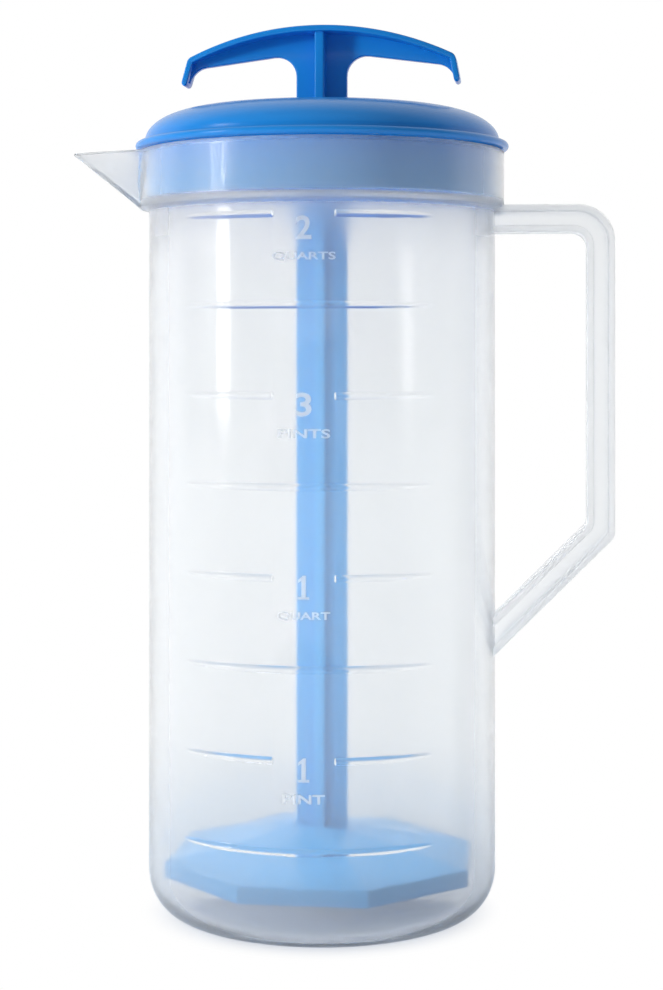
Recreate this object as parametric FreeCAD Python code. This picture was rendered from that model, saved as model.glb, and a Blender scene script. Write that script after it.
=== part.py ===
import FreeCAD
import Part
import math
import os

# Two quart mixing pitcher, in millimetres.
# The origin is on the jug's axis, in the flat face that it stands on. +Z is up, the carrying
# handle is towards +X, the spout towards -X, and the measuring lines face -Y.

# Jug body
body_radius = 55.0
wall_thickness = 1.9
floor_thickness = 2.9
heel_width = 11.0
heel_height = 14.0
rim_height = 240.2
rim_rounding = 0.8

# Collar, the wider band at the mouth that the lid plugs into
collar_radius = 57.8
collar_wall = 1.9
collar_depth = 18.8
ledge_slope = 0.7

# Measuring lines, half a US pint apart, raised from the front of the body
half_pint_volume = 236588.0
line_protrusion = 0.9
line_height = 2.3
line_half_angle = 41.5
line_gap = 18.4
line_root = 0.6

# Spout, an open V with its top edges rising a little to the tip
spout_length = 23.1
spout_root_width = 36.0
spout_wall = 1.5
spout_rise = 0.6
spout_foot = 0.4

# Carrying handle, an I-shaped bar: an inner and an outer flange with a web between them
handle_reach = 37.3
handle_bar = 8.6
handle_width = 15.0
handle_top = 222.8
handle_lower_end = 81.7
handle_slope = 45.0
handle_outer_corner = 11.5
handle_inner_corner = 4.6
handle_elbow_corner = 4.0
handle_flange = 2.0
handle_web = 2.2

# Lid
flange_radius = 59.3
flange_thickness = 2.4
flange_lift = 0.3
lid_wall = 1.8
skirt_clearance = 0.3
skirt_depth = 15.5
dome_base_radius = 56.3
dome_flat_radius = 40.0
dome_rise = 10.3
guide_radius = 12.0
guide_depth = 9.0
stem_clearance = 0.35

# Plunger: cross-shaped stem and T-shaped hand grip
plunger_turn = -1.5
stem_span = 16.2
stem_depth = 15.0
stem_rib = 3.0
grip_height = 26.5
grip_span = 85.6
grip_width = 18.0
grip_end_width = 9.0
grip_flange = 1.9
grip_arc_radius = 102.0
grip_tab_drop = 17.9
grip_tab_lean = 10.0
grip_corner = 2.5
grip_root_drop = 8.1
grip_join_drop = 16.0
grip_end_drop = 12.5
grip_root_fillet = 6.3
grip_end_fillet = 6.0

# Mixing disc: eight-sided, with a skirt, and facets that slope up to a hub
disc_clearance = 2.55
disc_skirt = 5.2
disc_rise = 7.7
disc_wall = 1.7
disc_above_floor = 9.7
hub_radius = 9.0
peg_radius = 5.0
peg_clearance = 0.1
peg_bead = 0.8
peg_bead_length = 5.2
peg_slot = 2.4
floor_gap = 0.3

# Worked out from the values above
inner_radius = body_radius - wall_thickness
inner_heel_width = heel_width - wall_thickness
inner_heel_height = heel_height - floor_thickness
collar_bottom = rim_height - collar_depth
collar_inner_radius = collar_radius - collar_wall
corner_share = 1.0 - math.pi / 4.0
corner_centre = (10.0 - 3.0 * math.pi) / (12.0 - 3.0 * math.pi)
heel_loss_radius = inner_radius - corner_centre * inner_heel_width
heel_loss = corner_share * inner_heel_width * inner_heel_height * 2.0 * math.pi * heel_loss_radius
bore_area = math.pi * inner_radius ** 2
line_spacing = half_pint_volume / bore_area
line_zero = floor_thickness + heel_loss / bore_area
line_count = int((collar_bottom - line_height - line_zero) / line_spacing)
spout_reach = collar_radius + spout_length
flange_bottom = rim_height + flange_lift
flange_top = flange_bottom + flange_thickness
lid_top = flange_top + dome_rise
skirt_radius = collar_inner_radius - skirt_clearance
skirt_bottom = flange_bottom - skirt_depth
grip_top = lid_top + grip_height
grip_join = grip_top - grip_join_drop
disc_apothem = (inner_radius - disc_clearance) * math.cos(math.pi / 8.0)
disc_bottom = floor_thickness + disc_above_floor
disc_edge_top = disc_bottom + disc_skirt
disc_top = disc_edge_top + disc_rise
peg_tip = floor_thickness + floor_gap
peg_bead_top = peg_tip + peg_bead_length
hub_bottom = peg_bead_top + peg_clearance

axis_up = FreeCAD.Vector(0, 0, 1)
origin = FreeCAD.Vector(0, 0, 0)


def point(x, y, z):
    return FreeCAD.Vector(x, y, z)


def line(start, end):
    return Part.LineSegment(start, end).toShape()


def quarter(start, corner, end):
    """An exact quarter of an ellipse, tangent to start-corner and to corner-end."""
    curve = Part.BezierCurve()
    curve.setPoles([start, corner, end])
    curve.setWeight(2, math.sqrt(0.5))
    return curve.toShape()


def cylinder(radius, bottom, top):
    return Part.makeCylinder(radius, top - bottom, point(0, 0, bottom))


def block(low, high):
    size = high - low
    return Part.makeBox(size.x, size.y, size.z, low)


def revolve(edges):
    """Turns a closed outline in the XZ plane a full turn about the Z axis."""
    face = Part.Face(Part.Wire(edges))
    return face.revolve(origin, axis_up, 360)


def rounded_outline(corners):
    """A closed wire in the XZ plane through (x, z, radius) corners, rounded where radius > 0."""
    edges = []
    ends = []
    count = len(corners)
    for i in range(count):
        here = point(corners[i][0], 0, corners[i][1])
        before = point(corners[i - 1][0], 0, corners[i - 1][1])
        after = point(corners[(i + 1) % count][0], 0, corners[(i + 1) % count][1])
        radius = corners[i][2]
        if radius <= 0:
            ends.append((here, here))
            continue
        to_before = (before - here).normalize()
        to_after = (after - here).normalize()
        half_angle = to_before.getAngle(to_after) / 2.0
        inward = (to_before + to_after).normalize()
        setback = radius / math.tan(half_angle)
        first = here + to_before * setback
        last = here + to_after * setback
        middle = here + inward * (radius / math.sin(half_angle) - radius)
        edges.append(Part.Arc(first, middle, last).toShape())
        ends.append((first, last))
    for i in range(count):
        start = ends[i][1]
        end = ends[(i + 1) % count][0]
        if start.distanceToPoint(end) > 1e-6:
            edges.append(line(start, end))
    return Part.Wire(Part.__sortEdges__(edges))


def extrude_across(wire, width):
    """Makes an outline in the XZ plane a solid of the given width, centred on y = 0."""
    solid = Part.Face(wire).extrude(point(0, width, 0))
    solid.translate(point(0, -width / 2.0, 0))
    return solid


def spout_corners():
    """Tip, two top corners and keel of a pyramid that runs from the spout's tip to the jug's axis.

    The last point is on the jug's axis, in the plane of the pyramid's top.
    """
    root_reach = math.sqrt(collar_radius ** 2 - (spout_root_width / 2.0) ** 2)
    half_width = spout_root_width / 2.0 * spout_reach / (spout_reach - root_reach)
    length_share = spout_reach / spout_length
    tip_height = rim_height + spout_rise
    top = tip_height - spout_rise * length_share
    foot = collar_bottom + spout_foot
    keel = tip_height - (tip_height - foot) * length_share
    return [
        point(-spout_reach, 0, tip_height),
        point(0, half_width, top),
        point(0, -half_width, top),
        point(0, 0, keel),
        point(0, 0, top),
    ]


def pyramid(tip, left, right, keel):
    faces = []
    for trio in ((tip, left, right), (tip, keel, left), (tip, right, keel), (left, keel, right)):
        faces.append(Part.Face(Part.makePolygon([trio[0], trio[1], trio[2], trio[0]])))
    solid = Part.makeSolid(Part.makeShell(faces))
    if solid.Volume < 0:
        solid.reverse()
    return solid


def spout_channel():
    """The hollow in the spout: its pyramid drawn in by the wall on each side, and open above."""
    tip, left, right, keel, centre = spout_corners()
    side = (left - tip).cross(keel - tip).normalize()
    distance = abs((centre - tip).dot(side))
    share = (distance - spout_wall) / distance
    inner = []
    for corner in (tip, left, right, keel):
        inner.append(centre + (corner - centre) * share)
    top = Part.Face(Part.makePolygon([inner[0], inner[1], inner[2], inner[0]]))
    above = top.extrude(point(0, 0, collar_depth))
    return pyramid(*inner).fuse(above)


def measuring_line(height, split):
    """One raised line: a ring of triangular section, set forward so that it fades at its ends."""
    reach = body_radius + line_protrusion
    flat = body_radius * math.cos(math.radians(line_half_angle))
    forward = (reach ** 2 - body_radius ** 2) / (2.0 * (reach - flat))
    apex = reach - forward
    depth = line_protrusion + line_root
    half = line_height / 2.0 * depth / line_protrusion
    corners = [
        point(apex, 0, height),
        point(apex - depth, 0, height - half),
        point(apex - depth, 0, height + half),
    ]
    edges = [line(corners[i - 1], corners[i]) for i in range(3)]
    ring = revolve(edges)
    ring.translate(point(0, -forward, 0))
    side = body_radius * math.sin(math.radians(line_half_angle))
    front = block(point(-side, -reach - half, height - half), point(side, 0, height + half))
    ring = ring.common(front)
    if split:
        half_gap = line_gap / 2.0
        gap = block(point(-half_gap, -reach - half, height - half),
                    point(half_gap, 0, height + half))
        ring = ring.cut(gap)
    return ring


def make_jug_body():
    """Wall, floor, rounded heel and collar, with the measuring lines and the spout's mouth."""
    ledge_top = collar_bottom + wall_thickness
    floor = floor_thickness
    heel_low = point(body_radius - heel_width, 0, 0)
    heel_high = point(body_radius, 0, heel_height)
    shoulder = point(body_radius, 0, collar_bottom)
    collar_low = point(collar_radius, 0, collar_bottom + ledge_slope)
    rim_out = point(collar_radius, 0, rim_height - rim_rounding)
    rim_top = point(collar_radius - rim_rounding, 0, rim_height)
    rim_in = point(collar_inner_radius, 0, rim_height)
    ledge_out = point(collar_inner_radius, 0, ledge_top + ledge_slope)
    ledge_in = point(inner_radius, 0, ledge_top)
    floor_high = point(inner_radius, 0, floor + inner_heel_height)
    floor_low = point(inner_radius - inner_heel_width, 0, floor)
    outline = [
        line(origin, heel_low),
        quarter(heel_low, point(body_radius, 0, 0), heel_high),
        line(heel_high, shoulder),
        line(shoulder, collar_low),
        line(collar_low, rim_out),
        quarter(rim_out, point(collar_radius, 0, rim_height), rim_top),
        line(rim_top, rim_in),
        line(rim_in, ledge_out),
        line(ledge_out, ledge_in),
        line(ledge_in, floor_high),
        quarter(floor_high, point(inner_radius, 0, floor), floor_low),
        line(floor_low, point(0, 0, floor)),
        line(point(0, 0, floor), origin),
    ]
    jug = revolve(outline)
    for i in range(line_count):
        height = line_zero + (i + 1) * line_spacing
        jug = jug.fuse(measuring_line(height, i % 2 == 1))
    mouth = block(point(-collar_radius, -collar_radius, ledge_top + ledge_slope),
                  point(0, collar_radius, rim_height))
    return jug.cut(spout_channel().common(mouth)).removeSplitter()


def outside_the_jug(shape):
    """Cuts away what lies inside the jug's outer surface, so that the piece ends against it."""
    shape = shape.cut(cylinder(body_radius, 0, collar_bottom))
    shape = shape.cut(Part.makeCone(body_radius, collar_radius, ledge_slope,
                                    point(0, 0, collar_bottom)))
    return shape.cut(cylinder(collar_radius, collar_bottom + ledge_slope,
                              rim_height + collar_depth))


def make_pour_spout():
    """The open V of the spout, ending against the outside of the collar."""
    corners = spout_corners()[:4]
    spout = pyramid(*corners).cut(spout_channel())
    collar_band = block(point(-spout_reach, -collar_radius, collar_bottom + ledge_slope),
                        point(0, collar_radius, rim_height + collar_depth))
    return outside_the_jug(spout.common(collar_band))


def make_carry_handle():
    """Top bar, upright grip and slanted lower bar in one, hollowed on both sides to an I."""
    outer = body_radius + handle_reach
    inner = outer - handle_bar
    inside = body_radius - handle_bar
    slope = math.tan(math.radians(handle_slope))
    stretch = 1.0 / math.cos(math.radians(handle_slope))
    underside = handle_top - handle_bar
    flange = handle_flange

    def low(x, rise):
        """Height at x of a line along the lower bar, which is that far above its underside."""
        return handle_lower_end + (x - body_radius) * slope + rise * stretch

    outline = [
        (inside, handle_top, 0),
        (outer, handle_top, handle_outer_corner),
        (outer, low(outer, 0), handle_elbow_corner),
        (inside, low(inside, 0), 0),
        (inside, low(inside, handle_bar), 0),
        (inner, low(inner, handle_bar), handle_elbow_corner),
        (inner, underside, handle_inner_corner),
        (inside, underside, 0),
    ]
    recess = [
        (inside, handle_top - flange, 0),
        (outer - flange, handle_top - flange, handle_outer_corner - flange),
        (outer - flange, low(outer - flange, flange), handle_elbow_corner - flange),
        (inside, low(inside, flange), 0),
        (inside, low(inside, handle_bar - flange), 0),
        (inner + flange, low(inner + flange, handle_bar - flange),
         handle_elbow_corner + flange),
        (inner + flange, underside + flange, handle_inner_corner + flange),
        (inside, underside + flange, 0),
    ]
    handle = extrude_across(rounded_outline(outline), handle_width)
    depth = (handle_width - handle_web) / 2.0
    pocket = Part.Face(rounded_outline(recess)).extrude(point(0, depth, 0))
    for y in (-handle_width / 2.0, handle_web / 2.0):
        side = pocket.copy()
        side.translate(point(0, y, 0))
        handle = handle.cut(side)
    return outside_the_jug(handle)


def cross_bar(span, depth, rib, bottom, top):
    """An upright bar of cross-shaped section between two heights, turned as the plunger is."""
    bar_x = block(point(-span / 2.0, -rib / 2.0, bottom), point(span / 2.0, rib / 2.0, top))
    bar_y = block(point(-rib / 2.0, -depth / 2.0, bottom), point(rib / 2.0, depth / 2.0, top))
    bar = bar_x.fuse(bar_y).removeSplitter()
    bar.rotate(origin, axis_up, plunger_turn)
    return bar


def make_lid():
    """Flange with a rounded edge, dome above it, plug skirt below, and the stem's guide."""
    bead = flange_thickness / 2.0
    edge = flange_radius - bead
    skirt_inner = skirt_radius - lid_wall
    dome_inner = dome_base_radius - lid_wall
    ceiling = lid_top - lid_wall
    outline = [
        line(point(0, 0, lid_top), point(dome_flat_radius, 0, lid_top)),
        quarter(point(dome_flat_radius, 0, lid_top), point(dome_base_radius, 0, lid_top),
                point(dome_base_radius, 0, flange_top)),
        line(point(dome_base_radius, 0, flange_top), point(edge, 0, flange_top)),
        Part.Arc(point(edge, 0, flange_top), point(flange_radius, 0, flange_bottom + bead),
                 point(edge, 0, flange_bottom)).toShape(),
        line(point(edge, 0, flange_bottom), point(skirt_radius, 0, flange_bottom)),
        line(point(skirt_radius, 0, flange_bottom), point(skirt_radius, 0, skirt_bottom)),
        line(point(skirt_radius, 0, skirt_bottom), point(skirt_inner, 0, skirt_bottom)),
        line(point(skirt_inner, 0, skirt_bottom), point(skirt_inner, 0, flange_bottom)),
        line(point(skirt_inner, 0, flange_bottom), point(dome_inner, 0, flange_top)),
        quarter(point(dome_inner, 0, flange_top), point(dome_inner, 0, ceiling),
                point(dome_flat_radius, 0, ceiling)),
        line(point(dome_flat_radius, 0, ceiling), point(0, 0, ceiling)),
        line(point(0, 0, ceiling), point(0, 0, lid_top)),
    ]
    lid = revolve(outline)
    lid = lid.fuse(cylinder(guide_radius, lid_top - guide_depth, lid_top - lid_wall / 2.0))
    room = 2.0 * stem_clearance
    opening = cross_bar(stem_span + room, stem_depth + room, stem_rib + room,
                        skirt_bottom, grip_top)
    return lid.cut(opening).removeSplitter()


def make_plunger_grip():
    """Curved top flange with turned-down ends, and the web that joins it to the stem."""
    corner = grip_span / 2.0
    arc_centre = grip_top - grip_arc_radius
    tab_bottom = grip_top - grip_tab_drop
    lean = math.tan(math.radians(grip_tab_lean))

    def arc_height(x, depth):
        """Height at x of an arc that runs that far inside the grip's top surface."""
        return arc_centre + math.sqrt((grip_arc_radius - depth) ** 2 - x ** 2)

    corner_z = arc_height(corner, 0)

    def tab_x(z, depth):
        """Distance from the middle, at a height, of a line that far inside the end tab."""
        return corner + (corner_z - z) * lean - depth

    outer = point(corner, 0, corner_z)
    inner_x = tab_x(corner_z - grip_flange, grip_flange)
    inner = point(inner_x, 0, arc_height(inner_x, grip_flange))
    foot_out = point(tab_x(tab_bottom, 0), 0, tab_bottom)
    foot_in = point(tab_x(tab_bottom, grip_flange), 0, tab_bottom)

    def mirrored(p):
        return point(-p.x, p.y, p.z)

    flange_outline = [
        Part.Arc(mirrored(outer), point(0, 0, grip_top), outer).toShape(),
        line(outer, foot_out),
        line(foot_out, foot_in),
        line(foot_in, inner),
        Part.Arc(inner, point(0, 0, grip_top - grip_flange), mirrored(inner)).toShape(),
        line(mirrored(inner), mirrored(foot_in)),
        line(mirrored(foot_in), mirrored(foot_out)),
        line(mirrored(foot_out), mirrored(outer)),
    ]
    flange = extrude_across(Part.Wire(flange_outline), grip_width)
    long_edges = []
    for edge in flange.Edges:
        ends = [vertex.Point for vertex in edge.Vertexes]
        at_corner = all(abs(abs(end.x) - corner) < 1e-4 for end in ends)
        if at_corner and abs(ends[0].y - ends[1].y) > grip_width / 2.0:
            long_edges.append(edge)
    flange = flange.makeFillet(grip_corner, long_edges)
    half_width = grip_width / 2.0
    half_end = grip_end_width / 2.0
    front = [point(-foot_out.x, -half_end, tab_bottom), point(foot_out.x, -half_end, tab_bottom)]
    back = [point(foot_out.x, half_end, tab_bottom), point(-foot_out.x, half_end, tab_bottom)]
    plan = [
        Part.Arc(front[0], point(0, -half_width, tab_bottom), front[1]).toShape(),
        line(front[1], back[0]),
        Part.Arc(back[0], point(0, half_width, tab_bottom), back[1]).toShape(),
        line(back[1], front[0]),
    ]
    flange = flange.common(Part.Face(Part.Wire(plan)).extrude(point(0, 0, grip_tab_drop)))

    half_stem = stem_span / 2.0
    end_z = grip_top - grip_end_drop
    middle = grip_flange / 2.0
    left = [
        (-half_stem, grip_join, 0),
        (-half_stem, grip_top - grip_root_drop, grip_root_fillet),
        (-tab_x(end_z, grip_flange), end_z, grip_end_fillet),
        (-tab_x(tab_bottom, grip_flange), tab_bottom, 0),
        (-tab_x(tab_bottom, middle), tab_bottom, 0),
        (-tab_x(corner_z, middle), corner_z, 0),
        (-tab_x(corner_z, middle), grip_top, 0),
    ]
    right = [(-x, z, radius) for x, z, radius in reversed(left)]
    web = extrude_across(rounded_outline(left + right), stem_rib)
    front_rib = block(point(-stem_rib / 2.0, -stem_depth / 2.0, grip_join),
                      point(stem_rib / 2.0, stem_depth / 2.0, grip_top))
    under_arc = Part.makeCylinder(grip_arc_radius - middle, grip_width,
                                  point(0, -grip_width / 2.0, arc_centre), point(0, 1, 0))
    body = web.fuse(front_rib).common(under_arc)
    grip = flange.fuse(body)
    grip.rotate(origin, axis_up, plunger_turn)
    return grip.removeSplitter()


def make_plunger_stem():
    """Cross-shaped stem, and below it a round split peg that the mixing disc snaps on to."""
    stem = cross_bar(stem_span, stem_depth, stem_rib, disc_top, grip_join)
    peg = cylinder(peg_radius, peg_bead_top, disc_top)
    bead = Part.makeCone(peg_radius - peg_bead, peg_radius + peg_bead, peg_bead_length,
                         point(0, 0, peg_tip))
    slot = block(point(-peg_slot / 2.0, -body_radius, peg_tip),
                 point(peg_slot / 2.0, body_radius, (hub_bottom + disc_top) / 2.0))
    peg = peg.fuse(bead).cut(slot)
    peg.rotate(origin, axis_up, plunger_turn)
    return stem.fuse(peg).removeSplitter()


def octagon(apothem, height):
    """An eight-sided wire at a height, with one flat side facing -Y."""
    radius = apothem / math.cos(math.pi / 8.0)
    corners = []
    for i in range(9):
        angle = math.pi / 8.0 + i * math.pi / 4.0
        corners.append(point(radius * math.cos(angle), radius * math.sin(angle), height))
    return Part.makePolygon(corners)


def faceted_cap(apothem, bottom, edge, peak, peak_height):
    """Eight upright sides from bottom to edge, and eight facets that slope up to the peak."""
    sides = Part.Face(octagon(apothem, bottom)).extrude(point(0, 0, edge - bottom))
    facets = Part.makeLoft([octagon(apothem, edge), octagon(peak, peak_height)], True, True)
    return sides.fuse(facets)


def make_mixing_disc():
    """Sloping facets round a hub, with a skirt along the eight-sided edge."""
    apothem = disc_apothem
    slope = disc_rise / (apothem - hub_radius)
    peak = (hub_radius + peg_radius) / 2.0
    peak_height = disc_edge_top + slope * (apothem - peak)
    drop = disc_wall * math.sqrt(1.0 + slope ** 2)
    outer = faceted_cap(apothem, disc_bottom, disc_edge_top, peak, peak_height)
    inner = faceted_cap(apothem - disc_wall, disc_bottom,
                        disc_edge_top + slope * disc_wall - drop, peak, peak_height - drop)
    disc = outer.cut(inner)
    disc = disc.fuse(cylinder(hub_radius, hub_bottom, disc_top))
    disc = disc.cut(cylinder(apothem, disc_top, disc_top + disc_rise))
    disc = disc.cut(cylinder(peg_radius + peg_clearance, hub_bottom, disc_top))
    disc.rotate(origin, axis_up, plunger_turn)
    return disc.removeSplitter()


def write(name, shape):
    """Writes one node and prints what it holds."""
    shape.exportStep(os.path.join("parts", name + ".step"))
    print(name, "solids:", len(shape.Solids), "valid:", shape.isValid(),
          "volume:", round(shape.Volume, 1))


os.makedirs("parts", exist_ok=True)
write("jug_body", make_jug_body())
write("pour_spout", make_pour_spout())
write("carry_handle", make_carry_handle())
write("lid", make_lid())
write("plunger_grip", make_plunger_grip())
write("plunger_stem", make_plunger_stem())
write("mixing_disc", make_mixing_disc())
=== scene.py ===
import bpy
import math
import numpy as np
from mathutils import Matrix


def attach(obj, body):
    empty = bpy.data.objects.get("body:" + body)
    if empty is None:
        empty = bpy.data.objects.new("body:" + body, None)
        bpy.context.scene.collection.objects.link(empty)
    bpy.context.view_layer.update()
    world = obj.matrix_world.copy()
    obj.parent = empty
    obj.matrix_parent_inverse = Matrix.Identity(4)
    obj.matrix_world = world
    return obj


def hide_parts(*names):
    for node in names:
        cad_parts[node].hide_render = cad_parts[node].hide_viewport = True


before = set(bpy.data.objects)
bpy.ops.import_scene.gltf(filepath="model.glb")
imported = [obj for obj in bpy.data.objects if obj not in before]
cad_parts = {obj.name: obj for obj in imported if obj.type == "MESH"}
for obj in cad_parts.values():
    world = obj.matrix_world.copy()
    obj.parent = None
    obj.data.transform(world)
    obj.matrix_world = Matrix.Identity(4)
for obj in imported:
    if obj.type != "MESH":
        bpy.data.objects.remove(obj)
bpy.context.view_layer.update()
print("frame loaded")

mm = 0.001  # the sizes below are in millimetres, the scene is in metres
scene = bpy.context.scene
tau = 2 * math.pi


# quads between the rows and columns of a grid of nu x nv points
def gridQuads(nu, nv, wrapU, wrapV):
    u, v = np.meshgrid(np.arange(nu if wrapU else nu - 1), np.arange(nv if wrapV else nv - 1),
                       indexing="ij")
    u2, v2 = (u + 1) % nu, (v + 1) % nv
    quads = np.stack([u * nv + v, u2 * nv + v, u2 * nv + v2, u * nv + v2], axis=-1)
    return quads.reshape(-1, 4)


# six times the volume inside quads: the sum of p0 . (p1 x p2) over both triangles of each
def signedVolume(points, quads):
    p = points[quads]
    first = np.einsum("ij,ij->i", p[:, 0], np.cross(p[:, 1], p[:, 2]))
    second = np.einsum("ij,ij->i", p[:, 0], np.cross(p[:, 2], p[:, 3]))
    return float((first + second).sum())


# one closed skin: grid is (rows, columns, 3) in mm, columns always run round.
# ends: "wrap" joins the last row to the first, "fan" closes both to their middle, "face" puts
# one flat face on each
def skin(grid, ends):
    nu, nv = grid.shape[:2]
    points = grid.reshape(-1, 3)
    quads = gridQuads(nu, nv, ends == "wrap", True)
    flip = signedVolume(points, quads) < 0
    faces = [list(q) for q in (quads[:, ::-1] if flip else quads).tolist()]
    first, last = np.arange(nv), np.arange(nv) + (nu - 1) * nv
    if ends == "face":
        faces.append((first[::-1] if flip else first).tolist())
        faces.append((last if flip else last[::-1]).tolist())
    if ends == "fan":
        low, high = len(points), len(points) + 1
        points = np.vstack([points, grid[0].mean(axis=0), grid[-1].mean(axis=0)])
        nextFirst, nextLast = np.roll(first, -1), np.roll(last, -1)
        a = np.stack([first, nextFirst, np.full(nv, low)], axis=1)
        b = np.stack([nextLast, last, np.full(nv, high)], axis=1)
        if flip:
            a, b = a[:, ::-1], b[:, ::-1]
        faces += a.tolist() + b.tolist()
    return points, faces


# one object at the origin from a list of skins, each (points, faces). Edges sharper than sharp
# degrees stay hard. frost, where given, maps points to a share from 0 to 1 of frosting at each
def makePiece(name, skins, material, sharp=38, frost=None):
    points, faces, start = [], [], 0
    for p, f in skins:
        points.append(p)
        faces += [[i + start for i in face] for face in f]
        start += len(p)
    mesh = bpy.data.meshes.new(name)
    mesh.from_pydata((np.vstack(points) * mm).tolist(), [], faces)
    mesh.shade_smooth()
    mesh.set_sharp_from_angle(angle=math.radians(sharp))
    if frost is not None:
        share = mesh.attributes.new("frost", "FLOAT", "POINT")
        share.data.foreach_set("value", np.clip(frost(np.vstack(points)), 0, 1).astype(float))
    mesh.materials.append(material)
    piece = bpy.data.objects.new(name, mesh)
    scene.collection.objects.link(piece)
    return piece


# attaches a piece to the body it rides and hides the solids it stands for; the slot is not used
def declare(piece, body, slot, *nodes):
    if nodes:
        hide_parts(*nodes)
    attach(piece, body)


# larger of a and b, with the corner between them rounded over about k
def softMax(a, b, k):
    return 0.5 * (a + b + np.sqrt((a - b) ** 2 + k * k))


# quarter of an ellipse from p to q that leaves p towards corner, n points without the last
def quarterArc(p, corner, q, n):
    t = np.linspace(0, math.pi / 2, n, endpoint=False)[:, None]
    p, corner, q = np.array(p, float), np.array(corner, float), np.array(q, float)
    centre = p + q - corner
    return (centre + (p - centre) * np.cos(t) + (q - centre) * np.sin(t)).tolist()


# outline through (x, z, radius) corners, each rounded to its radius by an arc of n points
def roundedPath(corners, n=7, closed=True):
    out = []
    count = len(corners)
    for i, (x, z, radius) in enumerate(corners):
        here = np.array([x, z], float)
        if radius <= 0 or (not closed and i in (0, count - 1)):
            out.append(here)
            continue
        a = np.array(corners[i - 1][:2], float) - here
        b = np.array(corners[(i + 1) % count][:2], float) - here
        a, b = a / np.linalg.norm(a), b / np.linalg.norm(b)
        half = math.acos(np.clip(a @ b, -1, 1)) / 2
        centre = here + (a + b) / np.linalg.norm(a + b) * radius / math.sin(half)
        start, end = here + a * radius / math.tan(half), here + b * radius / math.tan(half)
        turn = math.pi - 2 * half
        t = np.linspace(0, 1, n)[:, None]
        arc = (np.sin((1 - t) * turn) * (start - centre) + np.sin(t * turn) * (end - centre))
        out += list(centre + arc / math.sin(turn))
    return np.array(out)


# unit normals in the plane of a closed outline, pointing to its right
def outlineNormals(path):
    along = np.roll(path, -1, axis=0) - np.roll(path, 1, axis=0)
    along /= np.linalg.norm(along, axis=1, keepdims=True)
    return np.stack([along[:, 1], -along[:, 0]], axis=1)


# area of a closed outline, positive where it runs anticlockwise
def outlineArea(path):
    nxt = np.roll(path, -1, axis=0)
    return 0.5 * float((path[:, 0] * nxt[:, 1] - nxt[:, 0] * path[:, 1]).sum())


# outline in XZ carried across Y: rows go from front to back, drawn in by the edge's rounding
def plate(outline, halfWidth, edge, n=4):
    if outlineArea(outline) < 0:
        outline = outline[::-1]
    inward = -outlineNormals(outline)
    t = np.linspace(0, math.pi / 2, n)
    inset = edge * (1 - np.sin(t))
    y = halfWidth - edge * (1 - np.cos(t))
    inset = np.concatenate([inset, inset[::-1]])
    y = np.concatenate([-y, y[::-1]])
    xz = outline[None] + inward[None] * inset[:, None, None]
    rows = np.broadcast_to(y[:, None], xz.shape[:2])
    return skin(np.stack([xz[..., 0], rows, xz[..., 1]], axis=-1), "face")


# one row of points round the jug's axis: radius and height along each angle
def ringRow(angles, radius, height):
    return np.stack([radius * np.cos(angles), radius * np.sin(angles),
                     np.broadcast_to(height, angles.shape)], axis=-1)


# turns points about the jug's axis by an angle in degrees
def turned(skins, degrees):
    c, s = math.cos(math.radians(degrees)), math.sin(math.radians(degrees))
    matrix = np.array([[c, s, 0], [-s, c, 0], [0, 0, 1]])
    return [(p @ matrix, f) for p, f in skins]


# moulded plastic: a cloudy colour, a cloudy roughness and a fine ripple, from Object coordinates
def mouldedSkinGroup():
    group = bpy.data.node_groups.new("mouldedSkin", "ShaderNodeTree")
    face = group.interface
    for label, kind, value in (("Vector", "NodeSocketVector", None),
                               ("Light Colour", "NodeSocketColor", (0.9, 0.9, 0.9, 1)),
                               ("Deep Colour", "NodeSocketColor", (0.8, 0.8, 0.8, 1)),
                               ("Cloud Scale", "NodeSocketFloat", 25.0),
                               ("Ripple Scale", "NodeSocketFloat", 400.0),
                               ("Smooth", "NodeSocketFloat", 0.2),
                               ("Rough", "NodeSocketFloat", 0.35)):
        socket = face.new_socket(label, in_out="INPUT", socket_type=kind)
        if value is not None:
            socket.default_value = value
    for label, kind in (("Colour", "NodeSocketColor"), ("Roughness", "NodeSocketFloat"),
                        ("Height", "NodeSocketFloat")):
        face.new_socket(label, in_out="OUTPUT", socket_type=kind)
    nodes, links = group.nodes, group.links
    inside, outside = nodes.new("NodeGroupInput"), nodes.new("NodeGroupOutput")
    cloud, ripple = nodes.new("ShaderNodeTexNoise"), nodes.new("ShaderNodeTexNoise")
    cloud.inputs["Detail"].default_value = 3
    ripple.inputs["Detail"].default_value = 2
    colour, rough = nodes.new("ShaderNodeMix"), nodes.new("ShaderNodeMix")
    colour.data_type = "RGBA"
    for noise, scale in ((cloud, "Cloud Scale"), (ripple, "Ripple Scale")):
        links.new(inside.outputs["Vector"], noise.inputs["Vector"])
        links.new(inside.outputs[scale], noise.inputs["Scale"])
    links.new(cloud.outputs[0], colour.inputs[0])
    links.new(inside.outputs["Light Colour"], colour.inputs[6])
    links.new(inside.outputs["Deep Colour"], colour.inputs[7])
    links.new(cloud.outputs[0], rough.inputs[0])
    links.new(inside.outputs["Smooth"], rough.inputs[2])
    links.new(inside.outputs["Rough"], rough.inputs[3])
    links.new(colour.outputs[2], outside.inputs["Colour"])
    links.new(rough.outputs[0], outside.inputs["Roughness"])
    links.new(ripple.outputs[0], outside.inputs["Height"])
    return group


mouldedSkin = mouldedSkinGroup()


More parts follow.
